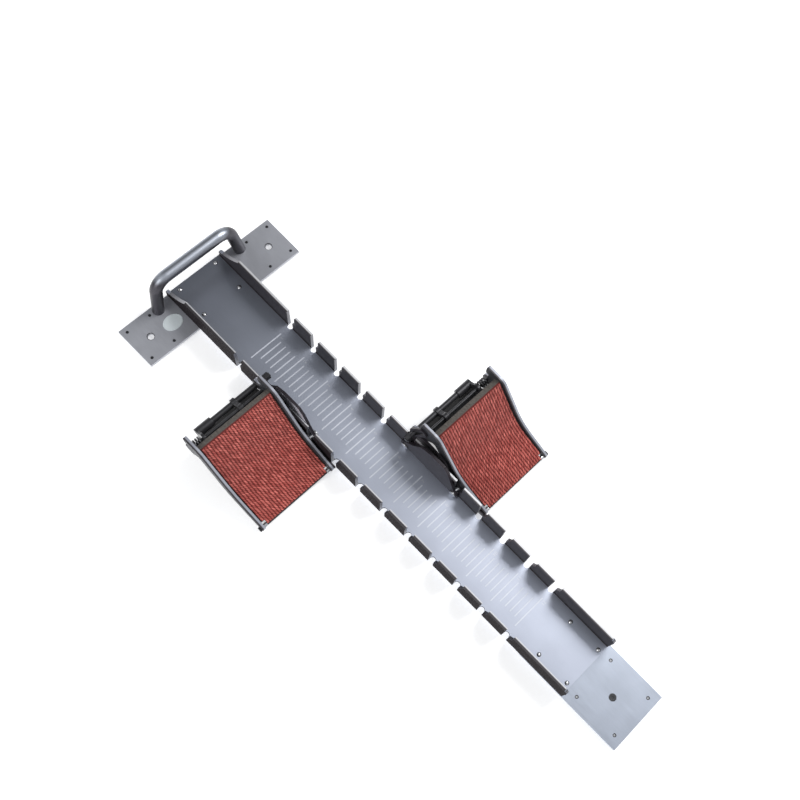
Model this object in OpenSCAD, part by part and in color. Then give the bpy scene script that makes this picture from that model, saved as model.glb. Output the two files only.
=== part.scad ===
// Sprint starting blocks: a notched aluminium rail on two anchor plates, with a carry
// handle and two foot pedals. Each pedal hangs on a carriage whose pins drop into the
// notches of the rail. The pedal hinges at its toe and is held by a spring-loaded rod.
// The origin lies on the running surface, midway between the two rear anchor holes.
// X points down the track, Y to the sprinter's left and Z up. Sizes are millimetres.

/* [Rail] */
// Length of the rail
rail_l = 821.5; // [800:0.5:840]
// Outer width of the rail
rail_w = 104; // [96:0.5:116]
// Height of the side walls, floor included
rail_h = 45; // [40:0.5:52]
// Thickness of the side walls
rail_wall = 5; // [4:0.1:6]
// Thickness of the floor
rail_floor = 4; // [3:0.1:6]
// How far the rail starts behind the rear anchor holes
rail_rear = 35; // [32:0.5:40]
// Fillet between the floor and the walls
rail_fillet = 1.2; // [0.5:0.1:1.5]
// Radius of the walls' front top corners
nose_r = 8; // [2:0.5:20]
// Length of the scooped rear end of the walls
scoop_l = 47; // [30:1:60]
// Height of the walls at the rear end
scoop_h = 12.5; // [8:0.5:20]
// Depth of the scoop below a straight cut
scoop_sag = 3.5; // [1:0.5:6]

/* [Notches] */
// Number of notches in each wall
notch_n = 12; // [10:1:13]
// Distance between notches
notch_pitch = 50; // [46:0.5:54]
// Place of the first notch
notch_first = 120; // [110:1:130]
// Width of a notch
notch_w = 9.6; // [8:0.1:12]
// How far a notch opens forward at the top
notch_flare = 5.7; // [0:0.1:10]
// Height of the step where the opening narrows
notch_step = 8; // [4:0.5:12]
// Height of the narrow part above the underside of the rail
notch_low = 20; // [15:0.5:25]
// How far a notch reaches into the floor
notch_depth = 9.8; // [9:0.1:11]

/* [Plates] */
// Thickness of both anchor plates
plate_t = 5; // [4:0.1:6]
// Width of the rear plate across the track
rear_plate_w = 281; // [260:1:320]
// Length of the rear plate along the track
rear_plate_l = 70; // [70:1:76]
// Length of the front plate
front_plate_l = 190.4; // [170:0.5:220]
// How far the front plate runs under the rail
front_overlap = 83.5; // [75:0.5:95]
// Distance between the rear anchor holes
anchor_pitch = 222.8; // [215:0.2:230]
// Diameter of the rear anchor holes
anchor_d = 9.5; // [7:0.1:12]
// Width of the bevelled rim of an anchor hole
anchor_rim = 1; // [0.4:0.1:1.5]
// Distance from the front of the rail to the front anchor
front_anchor_run = 54.9; // [45:0.1:60]
// Diameter of the front anchor's head
anchor_head_d = 11.5; // [9:0.1:14]
// Diameter of the front anchor's shank
anchor_shank_d = 6; // [4:0.1:7]

/* [Spikes and rivets] */
// Diameter of a ground spike
spike_d = 4.6; // [4:0.1:6]
// Length of a spike below the plate
spike_reach = 5.5; // [3:0.5:8]
// How deep a spike's top lies in the plate
spike_sink = 0.6; // [0.2:0.1:1.5]
// Distance between the rear spikes along the track
spike_x = 52.8; // [44:0.2:58]
// Distance between the rear spikes across the track
spike_y = 40.3; // [30:0.1:46]
// Distance between the front spikes along the track
front_spike_x = 75.8; // [60:0.2:84]
// Distance between the front spikes across the track
front_spike_y = 73; // [60:0.5:84]
// Diameter of a rivet
rivet_d = 4; // [3:0.1:5]
// Diameter of a rivet's head
rivet_head_d = 6; // [5:0.1:8]
// Height of a rivet's head
rivet_head_h = 0.8; // [0.4:0.1:1.2]
// Distance between rivets across the rail
rivet_y = 66.8; // [56:0.2:70]
// Distance of the end rivets from the ends of the rail
rivet_edge = 7; // [5:0.5:8]
// Distance between the rear rivets along the rail
rivet_rear_x = 52.2; // [48:0.2:56]
// Distance between the front rivets along the rail
rivet_front_x = 56.4; // [50:0.2:64]

/* [Handle] */
// Diameter of the handle's tube
handle_d = 18; // [15:0.5:19]
// Wall of the handle's tube
handle_wall = 2; // [1:0.1:3]
// Height of the grip's axis above the track
handle_z = 75; // [65:1:95]
// Place of the handle along the track
handle_x = -25; // [-25.4:0.1:-22]
// Distance between the feet of the handle
handle_feet = 153.2; // [144:0.2:160]
// Distance between the upper corners of the handle
handle_top = 131.2; // [124:0.2:140]
// Radius of the bends, at the tube's axis
handle_bend = 24; // [18:0.5:30]
// Length of the plug in each foot
plug_l = 18; // [14:0.5:24]
// Diameter of the foot screws
foot_screw_d = 6; // [4:0.5:8]

/* [Disc] */
// Length of the blank oval disc
disc_l = 30.8; // [24:0.2:34]
// Width of the blank oval disc
disc_w = 24; // [18:0.2:28]
// Thickness of the disc
disc_t = 0.5; // [0.3:0.1:1]
// Place of the disc along the track
disc_x = 3.4; // [0:0.2:6]
// Place of the disc across the track
disc_y = -73.8; // [-76:0.2:-72]

/* [Carriage] */
// Rear notch of the left pedal
left_notch = 5; // [0:1:8]
// Rear notch of the right pedal
right_notch = 1; // [0:1:8]
// Number of notches from the rear pin to the front pin
pin_step = 2; // [2:1:2]
// Diameter of the notch pins
pin_d = 9; // [7.5:0.1:9.2]
// Height of the pins above the floor of the rail
pin_rise = 7; // [6.5:0.1:9]
// Diameter of the pins' heads
pin_head_d = 12; // [10:0.1:12.6]
// Thickness of the pins' heads
pin_head_t = 3; // [2:0.1:4]
// Thickness of the guide plate inside the rail
guide_t = 4.3; // [3:0.1:5]
// Gap between the guide plate and the wall
guide_gap = 0.7; // [0.4:0.1:1.2]
// Gap between the guide plate and the floor
floor_gap = 0.3; // [0.2:0.1:0.6]
// Thickness of the bracket outside the rail
bracket_t = 3; // [2.5:0.1:4]
// Gap between the bracket and the wall
bracket_gap = 0.4; // [0.3:0.1:0.8]

/* [Pedal] */
// Height of the side plates' top above the track
pedal_h = 107; // [100:0.5:112]
// Place of the side plates' rear tip, from the rear pin
horn_x = 12.5; // [10:0.5:15]
// Depth of the side plates' rear tip
horn_depth = 17; // [14:0.5:18]
// Width between the side plates
pedal_w = 122.5; // [110:0.5:140]
// Thickness of the side plates
side_t = 5.5; // [4:0.1:7]
// Gap between the bracket and the inner side plate
side_gap = 0.6; // [0.4:0.1:1.2]
// Place of the toe hinge, from the rear pin
hinge_x = 150.5; // [148:0.1:152]
// Height of the toe hinge above the track
hinge_z = 5; // [4.8:0.1:5.4]
// Diameter of the toe axle
axle_d = 5; // [4:0.1:6]
// Radius of the toe around its axle
toe_r = 4.2; // [4:0.1:4.5]
// Length of the bushes on the axle
bush_l = 5.5; // [4:0.1:8]
// Thickness of the foot mat
mat_t = 3; // [2:0.1:3.5]
// Gap between the mat and the side plates
mat_gap = 1.2; // [0.5:0.1:2]
// Thickness of the board under the mat
board_t = 8; // [6:0.1:9]
// Thickness of the board's toe lip
board_lip = 1.6; // [1:0.1:2.5]
// Diameter of the board's screws
board_screw_d = 4; // [3:0.1:4.5]
// Length of the board's screws
board_screw_l = 17; // [12:0.5:22]

/* [Lock] */
// How far the pedal tilts up from rest, in degrees
tilt_max = 12; // [6:0.5:13]
// Diameter of the lock rod
rod_d = 9; // [8:0.1:9.5]
// Diameter of the lock rod's tip
tip_d = 6.5; // [5:0.1:7]
// Place of the lock rod, from the rear pin
rod_x = 3.5; // [2:0.1:5]
// Height of the lock rod above the walls of the rail
rod_rise = 8.5; // [8:0.1:10]
// Place of the tie rod, from the rear pin
tie_x = 19; // [18.5:0.1:20.5]
// Height of the tie rod above the lock rod
tie_rise = 11.5; // [10:0.1:13]
// Diameter of the tie rod
tie_d = 5; // [4:0.1:6]
// Travel of the lock rod
rod_travel = 6; // [4:0.5:6]
// Play of the rod's tip in its slot
slot_play = 0.3; // [0.2:0.05:0.5]
// Width of metal round the slot
slot_rim = 4.5; // [3:0.1:5.5]
// Place of the rod guide, from the inner side plate
guide_at = 35.5; // [20:0.5:60]
// Width of the rod guide
guide_w = 7; // [5:0.5:12]
// Length of the grip on the rod
grip_l = 23; // [15:0.5:40]
// Diameter of the grip
grip_d = 14; // [12:0.5:16]
// Thickness of the yoke
yoke_t = 4; // [3:0.1:6]
// Thickness of the nut on the rod's tip
nut_t = 8; // [5:0.5:8]
// Width of the nut across its flats
nut_af = 10; // [9:0.5:11]
// Diameter of the return spring, at the wire's axis
spring_d = 14; // [12:0.5:15]
// Diameter of the spring's wire
wire_d = 1.8; // [1.2:0.1:2]
// Number of turns of the return spring
spring_turns = 4.5; // [3:0.5:5]
// Room for the return spring
spring_l = 17; // [15:0.5:22]

/* [Fits] */
// Radial play of a turning or sliding fit
run_fit = 0.05; // [0.02:0.01:0.08]

/* [Hidden] */
$fn = 64;

// Levels and stations of the base
floor_z = plate_t + rail_floor;
top_z = plate_t + rail_h;
rail_x0 = -rail_rear;
rail_x1 = rail_l - rail_rear;
half_w = rail_w / 2;
inner_w = half_w - rail_wall;
front_x0 = rail_x1 - front_overlap;
front_x1 = front_x0 + front_plate_l;
front_anchor_x = rail_x1 + front_anchor_run;
rivet_xs = [rail_x0 + rivet_edge, rail_x0 + rivet_edge + rivet_rear_x,
    rail_x1 - rivet_edge - rivet_front_x, rail_x1 - rivet_edge];
lean = atan((handle_feet - handle_top) / 2 / (handle_z - plate_t));
bend_run = handle_bend * tan((90 - lean) / 2);

// Stations of a pedal unit across the track
guide_y1 = inner_w - guide_gap;
guide_y0 = guide_y1 - guide_t;
bracket_y0 = half_w + bracket_gap;
bracket_y1 = bracket_y0 + bracket_t;
inner_y0 = bracket_y1 + side_gap;
inner_y1 = inner_y0 + side_t;
outer_y0 = inner_y1 + pedal_w;
outer_y1 = outer_y0 + side_t;
shoulder_y = bracket_y1 + side_gap / 2;
yoke_y1 = outer_y0 - spring_l;
yoke_y0 = yoke_y1 - yoke_t;
nut_y1 = bracket_y0 - rod_travel - 0.4;
nut_y0 = nut_y1 - nut_t;

// Points of a pedal unit in its side view, measured from the rear pin
pin_z = floor_z + pin_rise;
front_pin_x = pin_step * notch_pitch;
rod_p = [rod_x, top_z + rod_rise];
tie_p = [tie_x, top_z + rod_rise + tie_rise];
hinge_p = [hinge_x, hinge_z];
arm = norm(rod_p - hinge_p);
arm_angle = atan2(rod_p[1] - hinge_p[1], rod_p[0] - hinge_p[0]);
slot_half = tip_d / 2 + slot_play;
mat_top = [horn_x + 28.4, pedal_h - 3];
mat_bend = [hinge_x - 57.4, 33.1];
mat_toe = [hinge_x + 2, hinge_z + 5.6];
mat_bend_r = 84;
run_1 = unit(mat_bend - mat_top);
run_2 = unit(mat_toe - mat_bend);
down_1 = [run_1[1], -run_1[0]];
down_2 = [run_2[1], -run_2[0]];
screw_points = [mat_top + 10 * run_1 + (mat_t + board_t / 2) * down_1,
    mat_top + 54 * run_1 + (mat_t + board_t / 2) * down_1,
    mat_bend + 22 * run_2 + (mat_t + board_t / 2) * down_2];

function unit(v) = v / norm(v);

// Arc of radius r that rounds the corner b between a and c
function corner(a, b, c, r, n) =
    r <= 0 ? [b] :
    let (u = unit(a - b), v = unit(c - b), half = acos(u * v) / 2,
        o = b + unit(u + v) * r / sin(half),
        p = b + u * r / tan(half) - o,
        q = b + v * r / tan(half) - o,
        a0 = atan2(p[1], p[0]),
        turn = (atan2(q[1], q[0]) - a0 + 540) % 360 - 180)
    [for (i = [0:n]) o + r * [cos(a0 + turn * i / n), sin(a0 + turn * i / n)]];

// Closed outline from corner points, each written as x, z and its radius
function outline(pts) =
    let (n = len(pts), p = [for (q = pts) [q[0], q[1]]])
    [for (i = [0:n - 1])
        each corner(p[(i + n - 1) % n], p[i], p[(i + 1) % n], pts[i][2],
            pts[i][2] > 15 ? 12 : 6)];

// Point and radius of the mat's bend at a depth below the mat's face
function bend_at(d) =
    let (p = mat_bend + d * (down_1 + down_2) / (1 + down_1 * down_2))
    [p[0], p[1], mat_bend_r + d];

function with_r(p, r) = [p[0], p[1], r];

// Prism between two stations across the track
module across(y0, y1) {
    translate([0, y1, 0])
        rotate([90, 0, 0])
            linear_extrude(y1 - y0)
                children();
}

// Round bar across the track at a point of the side view
module bar(p, d, y0, y1) {
    translate([p[0], y1, p[1]])
        rotate([90, 0, 0])
            cylinder(d = d, h = y1 - y0);
}

// Flat link between two points of the side view
module link(p, q, w, y0, y1) {
    l = norm(q - p);
    translate([p[0], y1, p[1]])
        rotate([90, 0, 0])
            rotate([0, 0, atan2(q[1] - p[1], q[0] - p[0])])
                translate([0, -w / 2, 0])
                    cube([l, w, y1 - y0]);
}

// Curved band round the toe hinge, as wide as twice its half width
module band(half, a0, a1, y0, y1) {
    reach = 1.4 * (arm + half);
    intersection() {
        difference() {
            bar(hinge_p, 2 * (arm + half), y0, y1);
            bar(hinge_p, 2 * (arm - half), y0 - 1, y1 + 1);
        }
        across(y0 - 1, y1 + 1)
            polygon([hinge_p, hinge_p + reach * [cos(a1), sin(a1)],
                hinge_p + reach * [cos(a0), sin(a0)]]);
    }
    for (a = [a0, a1])
        bar(hinge_p + arm * [cos(a), sin(a)], 2 * half, y0, y1);
}

// Places a pedal unit at its rear notch, on the left or the right of the rail
module unit_at(side) {
    translate([notch_first + (side > 0 ? left_notch : right_notch) * notch_pitch, 0, 0])
        if (side > 0)
            children();
        else
            mirror([0, 1, 0])
                children();
}

module rail_section() {
    f = rail_fillet;
    polygon(concat(
        [[-half_w, 0], [half_w, 0], [half_w, rail_h], [inner_w, rail_h]],
        [for (i = [0:4]) [inner_w - f + f * cos(18 * i), rail_floor + f - f * sin(18 * i)]],
        [[inner_w - f, rail_floor], [f - inner_w, rail_floor]],
        [for (i = [4:-1:0]) [f - inner_w - f * cos(18 * i), rail_floor + f - f * sin(18 * i)]],
        [[-inner_w, rail_h], [-half_w, rail_h]]));
}

// One notch through a wall and the edge of the floor, at the left of the rail
module notch() {
    w = notch_w / 2;
    across(min(inner_w, half_w - notch_depth + w), half_w + 1)
        polygon([[-w, plate_t - 1], [w, plate_t - 1], [w, plate_t + notch_low],
            [w + notch_flare, plate_t + notch_low + notch_step],
            [w + notch_flare, top_z + 1], [-w, top_z + 1]]);
    translate([0, half_w - notch_depth + w, plate_t - 1])
        cylinder(d = notch_w, h = rail_floor + rail_fillet + 2);
}

// Scooped end of the walls, cut by a drum that lies across the rail
module scoop() {
    run = [scoop_l, rail_h - scoop_h];
    r = (norm(run) * norm(run) / 4 + scoop_sag * scoop_sag) / 2 / scoop_sag;
    mid = [rail_x0, plate_t + scoop_h] + run / 2;
    c = mid + (r - scoop_sag) * unit([-run[1], run[0]]);
    bar(c, 2 * r, -half_w - 1, half_w + 1);
}

module rail() {
    color("silver")
        difference() {
            translate([rail_x0, 0, plate_t])
                rotate([90, 0, 90])
                    linear_extrude(rail_l)
                        rail_section();
            scoop();
            difference() {
                translate([rail_x1 - nose_r, -half_w - 1, top_z - nose_r])
                    cube([nose_r + 1, rail_w + 2, nose_r + 1]);
                bar([rail_x1 - nose_r, top_z - nose_r], 2 * nose_r, -half_w - 2, half_w + 2);
            }
            for (k = [0:notch_n - 1], s = [0, 1])
                translate([notch_first + k * notch_pitch, 0, 0])
                    mirror([0, s, 0])
                        notch();
            rivet_places()
                cylinder(d = rivet_d + 2 * run_fit, h = floor_z + 1);
        }
}

module rivet_places() {
    for (x = rivet_xs, s = [-1, 1])
        translate([x, s * rivet_y / 2, 0])
            children();
}

module rear_spike_places() {
    for (x = [-1, 1], s = [-1, 1], t = [-1, 1])
        translate([x * spike_x / 2, s * anchor_pitch / 2 + t * spike_y / 2, 0])
            children();
}

module front_spike_places() {
    for (x = [-1, 1], s = [-1, 1])
        translate([front_anchor_x + x * front_spike_x / 2, s * front_spike_y / 2, 0])
            children();
}

module foot_places() {
    for (s = [-1, 1])
        translate([handle_x, s * handle_feet / 2, 0])
            children();
}

module rear_plate() {
    color("lightsteelblue")
        difference() {
            translate([-rear_plate_l / 2, -rear_plate_w / 2, 0])
                cube([rear_plate_l, rear_plate_w, plate_t]);
            for (s = [-1, 1])
                translate([0, s * anchor_pitch / 2, 0]) {
                    translate([0, 0, -1])
                        cylinder(d = anchor_d, h = plate_t + 2);
                    translate([0, 0, plate_t - anchor_rim])
                        cylinder(d1 = anchor_d, d2 = anchor_d + 4 * anchor_rim,
                            h = 2 * anchor_rim);
                }
            rear_spike_places()
                translate([0, 0, -1])
                    cylinder(d = spike_d + 2 * run_fit, h = plate_t + 2);
            rivet_places()
                translate([0, 0, -1])
                    cylinder(d = rivet_d + 2 * run_fit, h = plate_t + 2);
            foot_places() {
                translate([0, 0, -1])
                    cylinder(d = foot_screw_d + 2 * run_fit, h = plate_t + 2);
                translate([0, 0, -1])
                    cylinder(d = 2 * foot_screw_d, h = 1);
                cylinder(d1 = 2 * foot_screw_d, d2 = foot_screw_d, h = foot_screw_d / 2);
            }
        }
}

module front_plate() {
    color("lightsteelblue")
        difference() {
            translate([front_x0, -half_w, 0])
                cube([front_plate_l, rail_w, plate_t]);
            front_spike_places()
                translate([0, 0, -1])
                    cylinder(d = spike_d + 2 * run_fit, h = plate_t + 2);
            rivet_places()
                translate([0, 0, -1])
                    cylinder(d = rivet_d + 2 * run_fit, h = plate_t + 2);
            translate([front_anchor_x, 0, -1])
                cylinder(d = anchor_shank_d + 2 * run_fit, h = plate_t + 2);
            translate([front_anchor_x, 0, plate_t / 3])
                cylinder(d = anchor_head_d + 2 * run_fit, h = plate_t);
        }
}

// Round bar that runs down the left leg from the bend and past the foot
module leg(d) {
    translate([handle_x, handle_top / 2 - bend_run, handle_z - handle_bend])
        rotate([90, 0, 90])
            rotate([0, 0, lean])
                translate([handle_bend, 0, 0])
                    rotate([90, 0, 0])
                        cylinder(d = d, h = handle_z - handle_bend + 10);
}

// Bent bar from foot to foot, swept as rings round its axis with feet cut level
module bent_bar(d) {
    sides = 36;
    steps = 10;
    cy = handle_top / 2 - bend_run;
    cz = handle_z - handle_bend;
    half = concat([lean - 90], [for (i = [0:steps]) lean + (90 - lean) * i / steps]);
    turns = concat(half, [for (i = [len(half) - 1:-1:0]) 180 - half[i]]);
    pts = [for (i = [0:len(turns) - 1], j = [0:sides - 1])
        let (foot = i == 0 || i == len(turns) - 1, s = i < len(half) ? 1 : -1,
            t = foot ? (s > 0 ? lean : 180 - lean) : turns[i],
            out = handle_bend + d / 2 * cos(360 * j / sides),
            p = [handle_x + d / 2 * sin(360 * j / sides), s * cy + out * cos(t),
                cz + out * sin(t)],
            drop = foot ? p[2] - plate_t : 0)
        p + drop * [0, s * tan(lean), -1]];
    m = len(turns);
    skin = [for (i = [0:m - 2], j = [0:sides - 1])
        let (p = sides * i + j, q = sides * i + (j + 1) % sides)
        each [[p, q, p + sides], [q, q + sides, p + sides]]];
    first = [for (j = [1:sides - 2]) [0, j + 1, j]];
    last = [for (j = [1:sides - 2])
        [sides * (m - 1), sides * (m - 1) + j, sides * (m - 1) + j + 1]];
    polyhedron(points = pts, faces = concat(skin, first, last));
}

// Block from one height to another round a foot on the left of the track
module foot_block(z0, z1) {
    translate([handle_x - 20, handle_feet / 2 - 30, z0])
        cube([40, 60, z1 - z0]);
}

module carry_handle() {
    color("slategray")
        difference() {
            bent_bar(handle_d);
            for (s = [0, 1])
                mirror([0, s, 0])
                    intersection() {
                        leg(handle_d - 2 * handle_wall);
                        foot_block(plate_t - 10, plate_t + plug_l);
                    }
        }
}

module handle_plugs() {
    color("dimgray")
        for (s = [0, 1])
            mirror([0, s, 0])
                difference() {
                    intersection() {
                        leg(handle_d - 2 * handle_wall);
                        foot_block(plate_t, plate_t + plug_l);
                    }
                    translate([handle_x, handle_feet / 2, 0])
                        cylinder(d = foot_screw_d + 2 * run_fit, h = plate_t + plug_l - 4);
                }
}

module handle_screws() {
    color("dimgray")
        foot_places() {
            cylinder(d1 = 2 * foot_screw_d, d2 = foot_screw_d, h = foot_screw_d / 2);
            cylinder(d = foot_screw_d, h = plate_t + plug_l - 5);
        }
}

module rail_rivets() {
    color("gainsboro")
        rivet_places() {
            cylinder(d = rivet_d, h = floor_z + rivet_head_h / 2);
            translate([0, 0, floor_z])
                cylinder(d1 = rivet_head_d, d2 = rivet_head_d - 2 * rivet_head_h,
                    h = rivet_head_h);
        }
}

// Threaded ground spike with a blunt point
module spike(d, top) {
    cylinder(d = d, h = top);
    translate([0, 0, -spike_reach])
        cylinder(d1 = d / 4, d2 = d, h = spike_reach);
}

module rear_spikes() {
    color("dimgray")
        rear_spike_places()
            spike(spike_d, plate_t - spike_sink);
}

module front_spikes() {
    color("dimgray")
        front_spike_places()
            spike(spike_d, plate_t - spike_sink);
}

module front_anchor_screw() {
    color("black")
        translate([front_anchor_x, 0, 0])
            difference() {
                union() {
                    spike(anchor_shank_d, plate_t / 2);
                    translate([0, 0, plate_t / 3])
                        cylinder(d = anchor_head_d, h = plate_t * 0.6);
                }
                translate([0, 0, plate_t / 3 + plate_t * 0.3])
                    cylinder(d = anchor_head_d / 2, h = plate_t, $fn = 6);
            }
}

module blank_disc() {
    color("whitesmoke")
        translate([disc_x, disc_y, plate_t])
            linear_extrude(disc_t)
                polygon([for (a = [0:6:354]) [disc_w / 2 * cos(a), disc_l / 2 * sin(a)]]);
}

// Plate that runs inside the rail and carries the heads of the notch pins
module guide_plate() {
    f = floor_z + floor_gap;
    front = front_pin_x;
    color("dimgray")
        difference() {
            across(guide_y0, guide_y1)
                polygon(outline([[-9, f, 4], [-9, pin_z + 4, 6], [13, top_z - 6, 40],
                    [28, top_z + 20, 12], [44, top_z + 28, 14], [front - 26, top_z + 29, 5],
                    [front - 17, top_z + 17, 6], [front, pin_z + 7, 8],
                    [front + 8.5, pin_z + 2, 4], [front + 8.5, f, 3]]));
            for (x = [0, front_pin_x])
                bar([x, pin_z], pin_d + 2 * run_fit, guide_y0 - 1, guide_y1 + 1);
        }
}

// Plate outside the rail with the clamping slot and the arm to the toe hinge
module bracket_plate() {
    front = front_pin_x;
    low = plate_t + 3;
    color("darkslategray")
        difference() {
            union() {
                across(bracket_y0, bracket_y1)
                    polygon(outline([[-9, low, 4], [-9, pin_z + 6, 6], [-4, top_z, 10],
                        [-4, top_z + 8, 0], [22, top_z + 20, 0], [34, top_z + 22, 10],
                        [front - 34, top_z + 16, 20], [front - 12, pin_z + 10, 20],
                        [hinge_x - 20, hinge_z + 6, 20], [hinge_x, hinge_z + toe_r, 0],
                        [hinge_x, hinge_z - toe_r, 0], [hinge_x - 24, hinge_z - toe_r, 8],
                        [front + 8, low, 8]]));
                bar(hinge_p, 2 * toe_r, bracket_y0, bracket_y1);
                band(slot_half + slot_rim, arm_angle - tilt_max, arm_angle,
                    bracket_y0, bracket_y1);
            }
            band(slot_half, arm_angle - tilt_max, arm_angle, bracket_y0 - 1, bracket_y1 + 1);
            for (x = [0, front_pin_x])
                bar([x, pin_z], pin_d + 2 * run_fit, bracket_y0 - 1, bracket_y1 + 1);
            bar(hinge_p, axle_d + 2 * run_fit, bracket_y0 - 1, bracket_y1 + 1);
        }
}

module notch_pins() {
    color("gainsboro")
        for (x = [0, front_pin_x]) {
            bar([x, pin_z], pin_d, guide_y0 - 0.5, bracket_y1);
            bar([x, pin_z], pin_head_d, guide_y0 - pin_head_t, guide_y0);
        }
}

module toe_axle() {
    color("gray") {
        bar(hinge_p, axle_d, bracket_y0, outer_y1 + 3);
        bar(hinge_p, 2 * toe_r - 0.6, outer_y1 + 0.3, outer_y1 + 3);
    }
}

// Side plate with its rear tip, the eye of the tie rod and the curved tread edge
module side_plate(y0, y1) {
    bottom = hinge_z - toe_r;
    end_x = hinge_x + toe_r + 0.3;
    difference() {
        union() {
            across(y0, y1)
                polygon(outline([[horn_x, pedal_h, 3], [horn_x + 31.7, pedal_h, 20],
                    [hinge_x - 54.8, 36.2, 86], [end_x, hinge_z + 5.2, 2],
                    [end_x, bottom, toe_r], [hinge_x - 9.5, bottom, 10],
                    [hinge_x - 66.5, 20, 68], [horn_x + 26.5, pedal_h - 25, 5],
                    [tie_x + 5, tie_p[1] - 6, 0], [tie_x - 6, tie_p[1] + 3, 0],
                    [horn_x + 8, pedal_h - horn_depth, 3],
                    [horn_x, pedal_h - horn_depth, 2]]));
            bar(tie_p, 18, y0, y1);
        }
        bar(tie_p, tie_d + 2 * run_fit, y0 - 1, y1 + 1);
        bar(hinge_p, axle_d + 2 * run_fit, y0 - 1, y1 + 1);
    }
}

// Countersunk place of a board screw, with its head at station y and its tip at y + l
module board_screw(p, y, l, play) {
    d = board_screw_d + 2 * play;
    translate([p[0], y, p[1]])
        rotate([l > 0 ? -90 : 90, 0, 0]) {
            cylinder(d = d, h = abs(l) + play);
            cylinder(d1 = 2 * board_screw_d, d2 = board_screw_d, h = board_screw_d / 2);
        }
}

module board_screws(play) {
    for (p = screw_points) {
        board_screw(p, inner_y0, board_screw_l, play);
        board_screw(p, outer_y1, -board_screw_l, play);
    }
}

module inner_side_plate() {
    color("slategray")
        difference() {
            union() {
                side_plate(inner_y0, inner_y1);
                link(rod_p, tie_p, 12, inner_y0, inner_y1);
                bar(rod_p, rod_d + 7, inner_y0, inner_y1);
            }
            bar(rod_p, rod_d + 2 * run_fit, inner_y0 - 1, inner_y1 + 1);
            bar(tie_p, tie_d + 2 * run_fit, inner_y0 - 1, inner_y1 + 1);
            board_screws(run_fit);
        }
}

module outer_side_plate() {
    color("slategray")
        difference() {
            side_plate(outer_y0, outer_y1);
            board_screws(run_fit);
        }
}

module face_board() {
    d0 = mat_t;
    d1 = mat_t + board_t;
    lip = mat_t + board_lip;
    color("darkolivegreen")
        difference() {
            across(inner_y1, outer_y0)
                polygon(outline([with_r(mat_top + d0 * down_1, 0), bend_at(d0),
                    with_r(mat_toe - 6.5 * run_2 + d0 * down_2, 0),
                    with_r(mat_toe - 6.5 * run_2 + lip * down_2, 0),
                    with_r(mat_toe - 18 * run_2 + lip * down_2, 3),
                    with_r(mat_toe - 25 * run_2 + d1 * down_2, 3), bend_at(d1),
                    with_r(mat_top + d1 * down_1, 1.5)]));
            board_screws(run_fit);
        }
}

module face_mat() {
    y0 = inner_y1 + mat_gap;
    y1 = outer_y0 - mat_gap;
    cut_x = hinge_x - toe_r - 0.8;
    color("firebrick")
        difference() {
            across(y0, y1)
                polygon(outline([with_r(mat_top, 1), bend_at(0), with_r(mat_toe, 1),
                    with_r(mat_toe + mat_t * down_2, 0.5), bend_at(mat_t),
                    with_r(mat_top + mat_t * down_1, 0)]));
            for (y = [inner_y1, outer_y0 - bush_l - 0.5])
                translate([cut_x, y, 0])
                    cube([20, bush_l + 0.5, 40]);
        }
}

module tie_rod() {
    color("black")
        bar(tie_p, tie_d, inner_y0, outer_y1);
}

module rod_guide() {
    y0 = inner_y1 + guide_at;
    y1 = y0 + guide_w;
    color("black")
        difference() {
            union() {
                bar(rod_p, rod_d + 5, y0, y1);
                bar(tie_p, tie_d + 7, y0, y1);
                link(rod_p, tie_p, 8, y0, y1);
            }
            bar(rod_p, rod_d + 2 * run_fit, y0 - 1, y1 + 1);
            bar(tie_p, tie_d + 2 * run_fit, y0 - 1, y1 + 1);
        }
}

module side_screws() {
    color("dimgray")
        board_screws(0);
}

module toe_bushes() {
    color("lightgray")
        for (y = [inner_y1, outer_y0 - bush_l])
            difference() {
                bar(hinge_p, 2 * toe_r, y, y + bush_l);
                bar(hinge_p, axle_d + 2 * run_fit, y - 1, y + bush_l + 1);
            }
}

// Coil spring as one unbroken tube of six sides, with a straight tail at each end
module return_spring() {
    per = 8;
    n = floor(spring_turns * per);
    r = spring_d / 2;
    lead = (spring_l - wire_d - 0.8) / (n + 2);
    y0 = yoke_y1 + wire_d / 2 + 0.4;
    step = 360 / per;
    rings = [for (i = [-1:n + 1])
        let (k = min(max(i, 0), n), t = [-sin(step * k), cos(step * k)],
            s = (i - k) * wire_d)
        [r * cos(step * k) + s * t[0], y0 + lead * (i + 1), r * sin(step * k) + s * t[1],
            step * k]];
    pts = [for (q = rings, j = [0:5])
        let (a = 60 * j, e = q[3])
        [tie_p[0] + q[0] + wire_d / 2 * cos(a) * cos(e), q[1] + wire_d / 2 * sin(a),
            tie_p[1] + q[2] + wire_d / 2 * cos(a) * sin(e)]];
    m = len(rings);
    sides = [for (i = [0:m - 2], j = [0:5])
        let (a = 6 * i + j, b = 6 * i + (j + 1) % 6)
        each [[a, a + 6, b], [b, a + 6, b + 6]]];
    first = [for (j = [1:4]) [0, j, j + 1]];
    last = [for (j = [1:4]) [6 * m - 6, 6 * m - 6 + j + 1, 6 * m - 6 + j]];
    echo(least_spring_gap = lead * per - wire_d);
    color("black")
        polyhedron(points = pts, faces = concat(sides, first, last));
}

module lock_rod() {
    color("black") {
        difference() {
            bar(rod_p, rod_d, shoulder_y, yoke_y1);
            bar(rod_p, rod_d - 4, yoke_y1 - 2, yoke_y1 + 1);
        }
        bar(rod_p, tip_d, nut_y0 - 1.5, shoulder_y + 1);
        difference() {
            bar(rod_p, grip_d, yoke_y0 - grip_l, yoke_y0);
            bar(rod_p, rod_d - 0.5, yoke_y0 - grip_l - 1, yoke_y0 + 1);
        }
    }
}

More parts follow.
